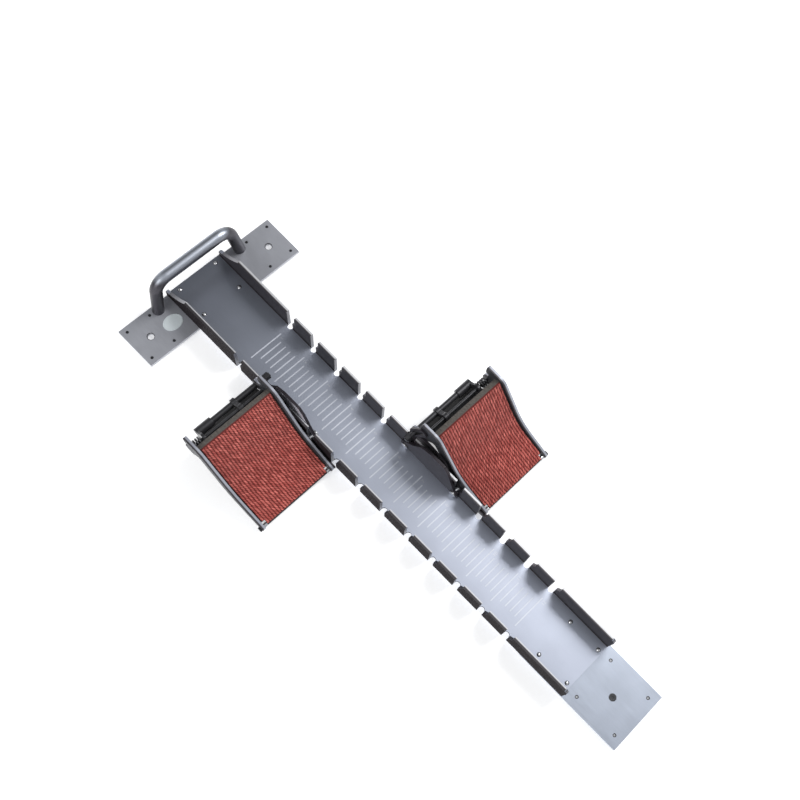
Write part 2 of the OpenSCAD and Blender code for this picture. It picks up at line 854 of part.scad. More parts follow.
module release_yoke() {
    color("black")
        difference() {
            union() {
                bar(rod_p, rod_d + 5, yoke_y0, yoke_y1);
                bar(tie_p, spring_d + wire_d + 1, yoke_y0, yoke_y1);
                link(rod_p, tie_p, 10, yoke_y0, yoke_y1);
            }
            bar(rod_p, rod_d + 2 * run_fit, yoke_y0 - 1, yoke_y1 + 1);
            bar(tie_p, tie_d + 2 * run_fit, yoke_y0 - 1, yoke_y1 + 1);
        }
}

module lock_nut() {
    color("dimgray")
        difference() {
            bar(rod_p, nut_af / cos(30), nut_y0, nut_y1, $fn = 6);
            bar(rod_p, tip_d + 2 * run_fit, nut_y0 - 1, nut_y1 + 1, $fn = 64);
        }
}

rail();
rear_plate();
front_plate();
carry_handle();
handle_plugs();
handle_screws();
rail_rivets();
rear_spikes();
front_spikes();
front_anchor_screw();
blank_disc();
unit_at(1) guide_plate();  // left_guide_plate
unit_at(1) bracket_plate();  // left_bracket_plate
unit_at(1) notch_pins();  // left_notch_pins
unit_at(1) toe_axle();  // left_toe_axle
unit_at(1) inner_side_plate();  // left_inner_side_plate
unit_at(1) outer_side_plate();  // left_outer_side_plate
unit_at(1) face_board();  // left_face_board
unit_at(1) face_mat();  // left_face_mat
unit_at(1) tie_rod();  // left_tie_rod
unit_at(1) rod_guide();  // left_rod_guide
unit_at(1) side_screws();  // left_side_screws
unit_at(1) toe_bushes();  // left_toe_bushes
unit_at(1) return_spring();  // left_return_spring
unit_at(1) lock_rod();  // left_lock_rod
unit_at(1) release_yoke();  // left_release_yoke
unit_at(1) lock_nut();  // left_lock_nut
unit_at(-1) guide_plate();  // right_guide_plate
unit_at(-1) bracket_plate();  // right_bracket_plate
unit_at(-1) notch_pins();  // right_notch_pins
unit_at(-1) toe_axle();  // right_toe_axle
unit_at(-1) inner_side_plate();  // right_inner_side_plate
unit_at(-1) outer_side_plate();  // right_outer_side_plate
unit_at(-1) face_board();  // right_face_board
unit_at(-1) face_mat();  // right_face_mat
unit_at(-1) tie_rod();  // right_tie_rod
unit_at(-1) rod_guide();  // right_rod_guide
unit_at(-1) side_screws();  // right_side_screws
unit_at(-1) toe_bushes();  // right_toe_bushes
unit_at(-1) return_spring();  // right_return_spring
unit_at(-1) lock_rod();  // right_lock_rod
unit_at(-1) release_yoke();  // right_release_yoke
unit_at(-1) lock_nut();  // right_lock_nut
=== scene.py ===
import math

import bmesh
import bpy
from mathutils import Matrix, Vector


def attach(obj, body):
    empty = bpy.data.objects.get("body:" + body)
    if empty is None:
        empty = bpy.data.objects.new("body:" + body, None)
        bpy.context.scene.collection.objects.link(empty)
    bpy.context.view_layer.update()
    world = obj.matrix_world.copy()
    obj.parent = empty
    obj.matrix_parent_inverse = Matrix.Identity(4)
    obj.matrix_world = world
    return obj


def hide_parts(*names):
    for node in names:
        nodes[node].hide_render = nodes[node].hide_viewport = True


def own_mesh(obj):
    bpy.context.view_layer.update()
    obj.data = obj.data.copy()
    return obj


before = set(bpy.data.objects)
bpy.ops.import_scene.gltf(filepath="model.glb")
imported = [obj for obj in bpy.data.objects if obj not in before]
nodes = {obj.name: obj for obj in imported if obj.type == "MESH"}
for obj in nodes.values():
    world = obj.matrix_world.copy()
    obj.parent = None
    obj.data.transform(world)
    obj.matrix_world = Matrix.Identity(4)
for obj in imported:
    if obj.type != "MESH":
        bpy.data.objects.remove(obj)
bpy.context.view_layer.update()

# ---------------------------------------------------------------- studio
# The blocks stand on a white paper floor that glows like a light table. Pale cloth
# lights the room, with one dark screen high behind the rail to shade the bright metal.
# A softbox on the left throws soft shadows, and a wider one on the right fills them.
SPIKE_TIPS = -0.0055
MIDDLE = Vector((0.4, 0, 0))


def added(name, data):
    """A new object in the scene, at the origin."""
    thing = bpy.data.objects.new(name, data)
    bpy.context.collection.objects.link(thing)
    return thing


floor_mesh = bpy.data.meshes.new("studio_floor")
bm = bmesh.new()
bmesh.ops.create_grid(bm, x_segments=1, y_segments=1, size=14)
bm.to_mesh(floor_mesh)
bm.free()
floor_mesh.transform(Matrix.Translation((MIDDLE.x, 0, SPIKE_TIPS)))
studio_floor = added("studio_floor", floor_mesh)
pale = bpy.data.materials.new("studio_paper")
pale.use_nodes = True
paper = pale.node_tree.nodes["Principled BSDF"]
paper.inputs["Base Color"].default_value = (0.93, 0.93, 0.93, 1)
paper.inputs["Roughness"].default_value = 0.9
paper.inputs["Specular IOR Level"].default_value = 0.0
paper.inputs["Emission Color"].default_value = (1, 1, 1, 1)
paper.inputs["Emission Strength"].default_value = 0.42
floor_mesh.materials.append(pale)

world = bpy.data.worlds.new("studio_cloth")
world.use_nodes = True
cloth = world.node_tree
toward = cloth.nodes.new("ShaderNodeTexCoord")
facing = cloth.nodes.new("ShaderNodeVectorMath")
facing.operation = "DOT_PRODUCT"
facing.inputs[1].default_value = Vector((-0.62, 0.22, 0.75)).normalized()
screen = cloth.nodes.new("ShaderNodeMapRange")
screen.interpolation_type = "SMOOTHSTEP"
screen.inputs["From Min"].default_value = 0.85
screen.inputs["From Max"].default_value = 0.985
screen.inputs["To Min"].default_value = 0.48
screen.inputs["To Max"].default_value = 0.0
cloth.links.new(toward.outputs["Generated"], facing.inputs[0])
cloth.links.new(facing.outputs["Value"], screen.inputs["Value"])
cloth.links.new(screen.outputs["Result"], cloth.nodes["Background"].inputs["Strength"])
cloth.nodes["Background"].inputs["Color"].default_value = (0.95, 0.97, 1, 1)
bpy.context.scene.world = world
bpy.context.scene.view_settings.view_transform = "Standard"

for name, size, power, place in (
        ("left_softbox", 1.1, 34, (0.6, 1.42, 1.8)),
        ("right_fill", 1.5, 20, (0.3, -1.7, 1.1))):
    lamp = bpy.data.lights.new(name, "AREA")
    lamp.size = size
    lamp.energy = power
    softbox = added(name, lamp)
    softbox.location = place
    softbox.rotation_euler = (MIDDLE - softbox.location).to_track_quat("-Z", "Y").to_euler()

# The camera stands high on the right of the rail and looks down at the blocks.
camera_data = bpy.data.cameras.new("camera")
camera = added("camera", camera_data)
aim, distance = Vector((0.5453, 0.1330, 0)), 1.4776
azimuth, elevation, roll = (math.radians(a) for a in (11.87, 72.27, 33.75))
back = Vector((math.sin(azimuth) * math.cos(elevation),
               -math.cos(azimuth) * math.cos(elevation), math.sin(elevation)))
right = (-back).cross(Vector((0, 0, 1))).normalized()
up = right.cross(-back)
right, up = (math.cos(roll) * right + math.sin(roll) * up,
             -math.sin(roll) * right + math.cos(roll) * up)
camera.matrix_world = Matrix((
    (right.x, up.x, back.x, aim.x + distance * back.x),
    (right.y, up.y, back.y, aim.y + distance * back.y),
    (right.z, up.z, back.z, aim.z + distance * back.z),
    (0, 0, 0, 1)))
camera_data.sensor_width = 36
camera_data.lens = 44.39
camera_data.shift_x = -0.163
camera_data.shift_y = 0.114
bpy.context.scene.camera = camera

# ---------------------------------------------------------------- rail
# The rail is an extruded aluminium channel, sawn and notched, then satin anodised.
# Its floor is polished along its length and painted darker toward its rear as painted
# shade. Its walls and notch cuts are painted dark as painted shade, and its sawn lips
# carry a painted highlight on one side and painted shade on the other.


def finish(name):
    """A new material, its nodes, and the shader in them."""
    material = bpy.data.materials.new(name)
    material.use_nodes = True
    tree = material.node_tree
    return material, tree, tree.nodes["Principled BSDF"]


def put(tree, kind, inputs=(), **settings):
    """A new node, with each input linked to a socket or set to a value."""
    made = tree.nodes.new(kind)
    for key, value in settings.items():
        setattr(made, key, value)
    for key, value in inputs:
        if isinstance(value, bpy.types.NodeSocket):
            tree.links.new(value, made.inputs[key])
        else:
            made.inputs[key].default_value = value
    return made


def grain(tree, scale, detail=3.0):
    """Noise on the piece's own coordinates, stretched by a scale along each axis."""
    where = put(tree, "ShaderNodeTexCoord")
    stretch = put(tree, "ShaderNodeMapping",
                  [("Vector", where.outputs["Object"]), ("Scale", scale)])
    return put(tree, "ShaderNodeTexNoise",
               [("Vector", stretch.outputs["Vector"]), ("Scale", 1.0), ("Detail", detail)])


def axis(tree, letter):
    """One of the piece's own coordinates."""
    where = put(tree, "ShaderNodeTexCoord")
    parts = put(tree, "ShaderNodeSeparateXYZ", [(0, where.outputs["Object"])])
    return parts.outputs[letter]


def span(tree, factor, low, high):
    """A colour between two, by a factor. Each of the two is a colour or a socket."""
    factor_in, low_in, high_in, colour_out = 0, 6, 7, 2
    inputs = [(factor_in, factor)]
    for key, end in ((low_in, low), (high_in, high)):
        inputs.append((key, end if isinstance(end, bpy.types.NodeSocket) else [*end, 1]))
    return put(tree, "ShaderNodeMix", inputs, data_type="RGBA").outputs[colour_out]


def brushed(name, colour, roughness, scale, contrast, metallic=1.0, relief=0.1,
            clouds=0.05, uneven=0.05):
    """Brushed metal: streaks and faint clouds in the colour, roughness and relief."""
    material, tree, shade = finish(name)
    streaks = grain(tree, scale)
    cloud = grain(tree, (26, 26, 26), 4)
    skin = span(tree, streaks.outputs["Fac"], [c * (1 - contrast) for c in colour],
                [min(1, c * (1 + contrast)) for c in colour])
    dim = put(tree, "ShaderNodeMapRange",
              [("Value", cloud.outputs["Fac"]), ("From Min", 0.3), ("From Max", 0.7),
               ("To Min", 1 - clouds), ("To Max", 1 + clouds)])
    tint = put(tree, "ShaderNodeVectorMath", [(0, skin), ("Scale", dim.outputs[0])],
               operation="SCALE")
    rough = put(tree, "ShaderNodeMapRange",
                [("Value", streaks.outputs["Fac"]), ("From Min", 0.3), ("From Max", 0.7),
                 ("To Min", roughness - uneven), ("To Max", roughness + uneven)])
    bump = put(tree, "ShaderNodeBump",
               [("Height", streaks.outputs["Fac"]), ("Strength", relief),
                ("Distance", 0.0002)])
    tree.links.new(tint.outputs[0], shade.inputs["Base Color"])
    tree.links.new(rough.outputs[0], shade.inputs["Roughness"])
    tree.links.new(bump.outputs[0], shade.inputs["Normal"])
    shade.inputs["Metallic"].default_value = metallic
    return material


def painted(name, colour, roughness, fleck, metallic=0.0, coat=0.0, size=420,
            glance=0.5):
    """Paint, plastic or dark plating with a fine uneven surface."""
    material, tree, shade = finish(name)
    cloud = grain(tree, (size, size, size), 4)
    skin = span(tree, cloud.outputs["Fac"], [c * (1 - fleck) for c in colour],
                [min(1, c * (1 + fleck)) for c in colour])
    rough = put(tree, "ShaderNodeMapRange",
                [("Value", cloud.outputs["Fac"]), ("To Min", roughness - 0.05),
                 ("To Max", roughness + 0.07)])
    bump = put(tree, "ShaderNodeBump",
               [("Height", cloud.outputs["Fac"]), ("Strength", 0.08),
                ("Distance", 0.0002)])
    tree.links.new(skin, shade.inputs["Base Color"])
    tree.links.new(rough.outputs[0], shade.inputs["Roughness"])
    tree.links.new(bump.outputs[0], shade.inputs["Normal"])
    shade.inputs["Metallic"].default_value = metallic
    shade.inputs["Coat Weight"].default_value = coat
    shade.inputs["Specular IOR Level"].default_value = glance
    return material


def eased(node, body, skins, width=0.0004, turn=32, pick=None, shape=None):
    """A copy of a piece's solid with its sharp edges broken by a small bevel.

    Edges that turn by more than the given degrees are broken. pick chooses a face's
    skin from its normal and centre, and shape may change the mesh first.
    """
    mesh = nodes[node].data.copy()
    mesh.name = "dressed_" + node
    bm = bmesh.new()
    bm.from_mesh(mesh)
    bmesh.ops.remove_doubles(bm, verts=bm.verts, dist=2e-6)
    bmesh.ops.dissolve_limit(bm, angle_limit=math.radians(0.4), verts=bm.verts,
                             edges=bm.edges)
    if shape:
        shape(bm)
    bm.normal_update()
    for face in bm.faces:
        face.smooth = True
        face.material_index = pick(face.normal, face.calc_center_median()) if pick else 0
    mesh.materials.clear()
    for skin in skins:
        mesh.materials.append(skin)
    bm.to_mesh(mesh)
    bm.free()
    piece = added("dressed_" + node, mesh)
    bevel = piece.modifiers.new("broken_edges", "BEVEL")
    bevel.width = width
    bevel.segments = 2
    bevel.limit_method = "ANGLE"
    bevel.angle_limit = math.radians(turn)
    bevel.use_clamp_overlap = True
    flat = piece.modifiers.new("flat_faces", "WEIGHTED_NORMAL")
    flat.mode = "FACE_AREA"
    flat.weight = 80
    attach(piece, body)
    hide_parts(node)


def polished_floor():
    """Metal brushed along the rail, painted a little darker toward its rear end as painted
    shade.
    """
    material = brushed("rail_floor_polished", (0.53, 0.565, 0.66), 0.39, (14, 900, 900),
                       0.025, relief=0.0, clouds=0.03, uneven=0.015)
    tree = material.node_tree
    tint = tree.nodes["Principled BSDF"].inputs["Base Color"]
    # Painted shade: the floor's colour is darkened toward the rear.
    rear_shade = put(tree, "ShaderNodeMapRange",
              [("Value", axis(tree, "X")), ("From Min", 0.03), ("From Max", 0.2),
               ("To Min", 0.76), ("To Max", 1.0)])
    rear_shaded_tint = put(tree, "ShaderNodeVectorMath",
               [(0, tint.links[0].from_socket), ("Scale", rear_shade.outputs[0])],
               operation="SCALE")
    tree.links.new(rear_shaded_tint.outputs[0], tint)
    return material


def edge_highlight(name, split, shift, low, high):
    """A sawn edge: a painted highlight left of a line along it, painted shade right of it.

    On the rail's right wall the shift is added first, so that one line serves both walls.
    """
    soft = 0.0006
    material, tree, shade = finish(name)
    y = axis(tree, "Y")
    right = put(tree, "ShaderNodeMath", [(0, y), (1, 0.0)], operation="LESS_THAN")
    across = put(tree, "ShaderNodeMath", [(0, right.outputs[0]), (1, shift), (2, y)],
                 operation="MULTIPLY_ADD")
    highlight_side = put(tree, "ShaderNodeMapRange",
               [("Value", across.outputs[0]), ("From Min", split - soft),
                ("From Max", split + soft)])
    saw = grain(tree, (90, 600, 600))
    bright = span(tree, saw.outputs["Fac"], low, high)
    # Painted shade right of the line, painted highlight left of it.
    skin = span(tree, highlight_side.outputs[0], (0.06, 0.055, 0.06), bright)
    tree.links.new(skin, shade.inputs["Base Color"])
    shade.inputs["Metallic"].default_value = 0.5
    shade.inputs["Roughness"].default_value = 0.4
    return material


LIP_Z, LIP_SPLIT, LIP_SHIFT = 0.0495, 0.0492, 0.0977
FLOOR, INSIDE, LIP, CUT, OUTSIDE = range(5)
# The inner and outer wall faces and the notch cuts are painted dark as painted shade; the
# lip skin carries a painted highlight.
rail_skins = (
    polished_floor(),
    painted("rail_wall_painted_shade", (0.015, 0.011, 0.014), 0.42, 0.2, glance=0.34),
    edge_highlight("rail_lip_painted_highlight", LIP_SPLIT, LIP_SHIFT, (0.62, 0.62, 0.64), (0.82, 0.82, 0.84)),
    brushed("rail_notch_cut", (0.24, 0.24, 0.26), 0.4, (600, 90, 600), 0.12),
    painted("rail_outer_painted_shade", (0.016, 0.013, 0.015), 0.6, 0.2, glance=0.03))


def rail_faces(normal, centre):
    """The skin of one of the rail's faces, from its direction and its place."""
    if normal.z > 0.9 and centre.z > LIP_Z:
        return LIP
    if abs(normal.y) > 0.12:
        return OUTSIDE if normal.y * centre.y > 0 else INSIDE
    if abs(normal.x) > 0.4:
        return CUT
    return FLOOR


eased("rail", "base", rail_skins, 0.0005, pick=rail_faces)

# ---------------------------------------------------------------- scale
# A scale is etched into the floor of the rail: a long line at each notch, four short
# ones between, and a small plain number beside each long line.
FLOOR_Z = 0.009
FIRST, PITCH, COUNT = 0.120, 0.050, 12
FINE_STEPS, LONG_HALF, SHORT_HALF = 5, 0.029, 0.0195
LINE_WIDE, LINE_ROUND, ETCH_HIGH = 0.0018, 0.0008, 0.00004
NUMBER_SIZE, NUMBER_AHEAD, NUMBER_LEFT = 0.0075, 0.0065, 0.0245


def etching():
    """Pale grey etched metal with a fine grain."""
    material, tree, shade = finish("etched_line")
    fine = grain(tree, (900, 900, 900), 2)
    tree.links.new(span(tree, fine.outputs["Fac"], (0.6, 0.63, 0.7), (0.82, 0.85, 0.92)),
                   shade.inputs["Base Color"])
    shade.inputs["Roughness"].default_value = 0.5
    shade.inputs["Metallic"].default_value = 0.5
    return material


etched = etching()
bm = bmesh.new()
for k in range(COUNT):
    for step in range(FINE_STEPS if k < COUNT - 1 else 1):
        half = LONG_HALF if step == 0 else SHORT_HALF
        line = bmesh.ops.create_cube(bm, size=1)["verts"]
        bmesh.ops.scale(bm, vec=(LINE_WIDE, 2 * half, ETCH_HIGH), verts=line)
        bmesh.ops.translate(bm, verts=line, vec=(
            FIRST + (k + step / FINE_STEPS) * PITCH, 0, FLOOR_Z + ETCH_HIGH / 2))
uprights = [e for e in bm.edges if abs(e.verts[0].co.z - e.verts[1].co.z) > 1e-6]
bmesh.ops.bevel(bm, geom=uprights, offset=LINE_ROUND, offset_type="OFFSET", segments=3,
                profile=0.5, affect="EDGES", material=-1)
scale_mesh = bpy.data.meshes.new("scale_lines")
bm.to_mesh(scale_mesh)
bm.free()
scale_mesh.materials.append(etched)
scale_lines = added("scale_lines", scale_mesh)
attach(scale_lines, "base")

faint_etch = brushed("faint_etch", (0.66, 0.68, 0.73), 0.45, (700, 700, 700), 0.1)
for k in range(COUNT):
    words = bpy.data.curves.new("scale_number", "FONT")
    words.body = str(k + 1)
    words.size = NUMBER_SIZE
    words.align_x = "CENTER"
    words.align_y = "CENTER"
    words.extrude = ETCH_HIGH / 2
    holder = added("scale_number", words)
    bpy.context.view_layer.update()
    number_mesh = bpy.data.meshes.new_from_object(holder.evaluated_get(
        bpy.context.evaluated_depsgraph_get()))
    bpy.data.objects.remove(holder)
    number_mesh.transform(
        Matrix.Translation((FIRST + k * PITCH + NUMBER_AHEAD, NUMBER_LEFT,
                            FLOOR_Z + ETCH_HIGH / 2))
        @ Matrix.Rotation(math.radians(90), 4, "Z"))
    number_mesh.materials.clear()
    number_mesh.materials.append(faint_etch)
    number = added(f"scale_number_{k + 1}", number_mesh)
    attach(number, "base")

# ---------------------------------------------------------------- anchor plates
# Two flat aluminium plates, sawn to length and brushed, with drilled holes. The rear
# one is duller from the hands that carry the blocks.
ANCHOR_Y, ANCHOR_REACH = 0.1114, 0.009
rear_plate_skin = brushed("rear_plate_brushed", (0.45, 0.46, 0.5), 0.42, (60, 600, 600),
                          0.06, 0.55)
front_plate_skin = brushed("front_plate_brushed", (0.46, 0.5, 0.58), 0.4, (40, 700, 700),
                           0.05)
# The anchor holes' rims are painted dark as painted shade in the recess.
hole_shade_skin = painted("hole_rim_painted_shade", (0.03, 0.03, 0.032), 0.5, 0.2)


def anchor_rim(normal, centre):
    """The sloped rims of the two anchor holes take a dark skin of painted shade."""
    near = math.hypot(centre.x, abs(centre.y) - ANCHOR_Y) < ANCHOR_REACH
    return 1 if near and 0.3 < normal.z < 0.95 else 0


eased("rear_plate", "base", (rear_plate_skin, hole_shade_skin), pick=anchor_rim)
eased("front_plate", "base", (front_plate_skin,))

# ---------------------------------------------------------------- rivets
# Domed rivets hold the rail on its plates. Each head sits in a dark ring of painted shadow.
RIVET_X = (-0.028, 0.0242, 0.7231, 0.7795)
RIVET_Y = 0.0334
rivet_skin = brushed("rivet_bright", (0.8, 0.8, 0.82), 0.22, (500, 500, 500), 0.05)
# The dark ring round each rivet head and front spike top is a painted shadow.
seat_shadow_skin = painted("seat_painted_shadow", (0.02, 0.02, 0.022), 0.6, 0.3)


def turned(name, profile, places, skins, steps=28, ring=None):
    """Small round parts: a profile of (radius, height) spun round each place.

    Faces between the two radii of the ring take the second skin.
    """
    bm = bmesh.new()
    for x, y in places:
        before = set(bm.faces)
        points = [bm.verts.new((x + r, y, z)) for r, z in profile]
        path = [bm.edges.new(pair) for pair in zip(points, points[1:])]
        bmesh.ops.spin(bm, geom=points + path, cent=(x, y, 0), axis=(0, 0, 1),
                       angle=math.tau, steps=steps, use_merge=True, use_duplicate=False)
        if ring:
            for face in set(bm.faces) - before:
                centre = face.calc_center_median()
                reach = math.hypot(centre.x - x, centre.y - y)
                face.material_index = int(ring[0] < reach < ring[1])
    bmesh.ops.remove_doubles(bm, verts=bm.verts, dist=1e-6)
    bmesh.ops.recalc_face_normals(bm, faces=bm.faces)
    for face in bm.faces:
        face.smooth = True
    mesh = bpy.data.meshes.new(name)
    bm.to_mesh(mesh)
    bm.free()
    for skin in skins:
        mesh.materials.append(skin)
    return added(name, mesh)


rivets = turned(
    "rivet_heads",
    [(radius, FLOOR_Z + height) for radius, height in (
        (0, 0.001), (0.0009, 0.00095), (0.0018, 0.0007), (0.0024, 0.0003),
        (0.0026, 0.00003), (0.0034, 0.00003), (0.0034, -0.0004), (0, -0.0004))],
    [(x, y) for x in RIVET_X for y in (RIVET_Y, -RIVET_Y)],
    (rivet_skin, seat_shadow_skin), ring=(0.0025, 0.0036))
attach(rivets, "base")
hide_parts("rail_rivets")

# ---------------------------------------------------------------- handle
# The carry handle is a bent round bar, plated satin grey and screwed on from below. Its
# top is painted pale as a painted highlight, and its sides and legs dark as painted shade.


def handle_plating():
    """Satin plating, dark on the sides and legs as painted shade, pale toward the top of
    the bar as a painted highlight.
    """
    material, tree, shade = finish("handle_satin")
    # Painted highlight and shade: the colour turns pale toward the top of the bar.
    top_highlight = put(tree, "ShaderNodeMapRange",
               [("Value", axis(tree, "Z")), ("From Min", 0.0745), ("From Max", 0.0834)],
               interpolation_type="SMOOTHSTEP")
    rub = grain(tree, (900, 160, 900), 4)
    pale = span(tree, rub.outputs["Fac"], (0.42, 0.45, 0.51), (0.52, 0.55, 0.61))
    dark = span(tree, rub.outputs["Fac"], (0.06, 0.057, 0.066), (0.095, 0.092, 0.104))
    skin = span(tree, top_highlight.outputs[0], dark, pale)
    bump = put(tree, "ShaderNodeBump",
               [("Height", rub.outputs["Fac"]), ("Strength", 0.06), ("Distance", 0.0002)])
    tree.links.new(skin, shade.inputs["Base Color"])
    tree.links.new(bump.outputs[0], shade.inputs["Normal"])
    shade.inputs["Metallic"].default_value = 0.9
    shade.inputs["Roughness"].default_value = 0.38
    return material


eased("carry_handle", "base", (handle_plating(),), 0.0006, 60)
dark_steel = painted("dark_steel", (0.06, 0.06, 0.065), 0.4, 0.15, 0.8)
for node in ("handle_plugs", "handle_screws"):
    eased(node, "base", (dark_steel,), 0.0002)

# ---------------------------------------------------------------- spikes
# Ground spikes are screwed up through the plates. Their sunk tops show as dark dots in the
# rear plate; the front ones are plated, each with a bright top in a ring of painted shadow.
PLATE_X, PLATE_Z, SPIKE_DX, SPIKE_Y = 0.8414, 0.005, 0.0379, 0.0365
bright_steel = brushed("bright_steel", (0.72, 0.73, 0.75), 0.22, (500, 500, 500), 0.06)
black_steel = painted("black_steel", (0.065, 0.065, 0.07), 0.34, 0.2, 0.6, 0.3)
eased("rear_spikes", "base", (dark_steel,), 0.0002)
eased("front_spikes", "base", (bright_steel,), 0.0002)
spike_rings = turned(
    "front_spike_rings",
    [(radius, PLATE_Z + height) for radius, height in (
        (0.0018, 0.00003), (0.0028, 0.00003), (0.0028, -0.0002), (0.0018, -0.0002),
        (0.0018, 0.00003))],
    [(PLATE_X + dx, y) for dx in (-SPIKE_DX, SPIKE_DX) for y in (-SPIKE_Y, SPIKE_Y)],
    (seat_shadow_skin,))
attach(spike_rings, "base")
eased("front_anchor_screw", "base", (black_steel,), 0.0003)

# ---------------------------------------------------------------- blank disc
# A pale oval disc is stuck on the right wing of the rear plate. It carries nothing but
# a raised rim.
DISC_X, DISC_Y, DISC_STRETCH = 0.0034, -0.0738, 1.29
disc_skin = painted("disc_pale", (0.7, 0.76, 0.78), 0.45, 0.06, 0.0, 0.2, 700)
eased("blank_disc", "base", (disc_skin,), 0.0001)
rim = turned(
    "blank_disc_rim",
    [(0.0106, 0.0055), (0.0107, 0.0057), (0.0111, 0.0057), (0.0112, 0.0055),
     (0.0106, 0.0055)],
    [(0, 0)], (disc_skin,), steps=64)
rim.data.transform(Matrix.Translation((DISC_X, DISC_Y, 0))
                   @ Matrix.Diagonal((1, DISC_STRETCH, 1, 1)))
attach(rim, "base")

# ---------------------------------------------------------------- carriages
# Each pedal unit hangs on a carriage: a guide plate inside the wall of the rail and a
# bracket plate outside it, of dark pressed steel, with painted light on their outer sides.
# Bright pins join them through the notches, and the toe axle runs out from the bracket.
UNITS = (("left", 1, 0.370), ("right", -1, 0.170))
# Their outer sides take painted light: pale on the right unit, whose plates lie in the
# light, and darker, as painted shade, on the left.
OUTER_SIDE_LIGHT = {"left": (0.17, 0.16, 0.195), "right": (0.68, 0.67, 0.74)}
carriage_skin = painted("carriage_dark", (0.035, 0.03, 0.037), 0.42, 0.15, 0.4, glance=0.4)
for side, sign, rear_pin in UNITS:
    outer_light_skin = painted(f"{side}_carriage_painted_light", OUTER_SIDE_LIGHT[side], 0.42, 0.12, 0.4,
                         glance=0.4)

    def outward_side(normal, centre):
        """Faces that look away from the rail's middle take the painted-light skin."""
        return 1 if normal.y * sign > 0.6 else 0

    for node in ("guide_plate", "bracket_plate"):
        eased(f"{side}_{node}", f"{side}_carriage",
              (carriage_skin, outer_light_skin), 0.0005, pick=outward_side)
    eased(f"{side}_notch_pins", f"{side}_carriage", (bright_steel,), 0.0005)
    eased(f"{side}_toe_axle", f"{side}_carriage", (dark_steel,), 0.0002)

# ---------------------------------------------------------------- side plates
# The two side plates of a pedal are sawn from aluminium plate. Their faces keep a dark
# skin, and their edges carry a painted highlight on the left part of their thickness and
# painted shade on the rest. A light bush sits in each toe corner.
EDGE_HIGHLIGHT_SHARE = 0.42
side_face_skin = painted("side_plate_face", (0.05, 0.052, 0.06), 0.45, 0.12, 0.5)


def side_faces(normal, centre):
    """The flat faces take the dark skin, and what is left is the sawn edge."""
    return 1 if abs(normal.y) > 0.9 else 0


for side, sign, rear_pin in UNITS:
    for node in ("inner_side_plate", "outer_side_plate"):
        # Each edge is split: a painted highlight on its left share, painted shade on the
        # rest.
        ys = [v.co.y for v in nodes[f"{side}_{node}"].data.vertices]
        split = min(ys) + EDGE_HIGHLIGHT_SHARE * (max(ys) - min(ys))
        edge_highlight_skin = edge_highlight(f"{side}_{node}_edge", split, 0.0, (0.34, 0.35, 0.4),
                           (0.5, 0.52, 0.58))
        eased(f"{side}_{node}", f"{side}_pedal",
              (edge_highlight_skin, side_face_skin), 0.0006, pick=side_faces)
    eased(f"{side}_toe_bushes", f"{side}_pedal", (bright_steel,))

# ---------------------------------------------------------------- boards
# A board of dark pressed fibre, bent at the foot, is screwed between the side plates.
# It is a little thicker at its top, where it is left raw. The mat's face on it runs from
# top over bend to toe, each given as a place ahead of the rear notch pin and a height.
MAT_TOP, MAT_BEND, MAT_TOE = (0.0409, 0.104), (0.0931, 0.0331), (0.1525, 0.0106)
THICKER, BACK_DEPTH, RAW_Z = 0.0035, 0.009, 0.085


def board_skin():
    """Dark brown-grey pressed fibre with a coarse grain."""
    material, tree, shade = finish("board_pressed_fibre")
    coarse = grain(tree, (160, 520, 160), 4)
    fine = grain(tree, (1500, 1500, 1500), 2)
    skin = span(tree, coarse.outputs["Fac"], (0.012, 0.01, 0.009), (0.17, 0.15, 0.13))
    bump = put(tree, "ShaderNodeBump",
               [("Height", fine.outputs["Fac"]), ("Strength", 0.5), ("Distance", 0.0003)])
    tree.links.new(skin, shade.inputs["Base Color"])
    tree.links.new(bump.outputs[0], shade.inputs["Normal"])
    shade.inputs["Roughness"].default_value = 0.75
    return material


fibre_skin = board_skin()
for side, sign, rear_pin in UNITS:
    def thick_top(bm):
        """Move the top of the board's back away from its face."""
        top, bend = Vector(MAT_TOP), Vector(MAT_BEND)
        run = (bend - top).normalized()
        down = Vector((run.y, -run.x))
        for v in bm.verts:
            away = Vector((v.co.x - rear_pin, v.co.z)) - top
            if away.dot(down) > BACK_DEPTH and v.co.z > RAW_Z:
                v.co += Vector((down.x, 0, down.y)) * THICKER

    eased(f"{side}_face_board", f"{side}_pedal", (fibre_skin,),
          shape=thick_top)
    eased(f"{side}_side_screws", f"{side}_pedal", (dark_steel,))

# ---------------------------------------------------------------- mats
# A red cord mat is glued on each board. Its face is moulded in rows of slanted cords,
# and it is cut away at the toe corners for the bushes.
MAT_INNER, MAT_OUTER, MAT_THICK, MAT_R, TOE_CUT_X = 0.0627, 0.1828, 0.003, 0.084, 0.1452
CORD_ROWS, STITCH = 27, 0.0044
CORD_HIGH, CREST, RIM_WIDE, RIM_DROP = 0.0015, 0.0004, 0.0012, 0.0006


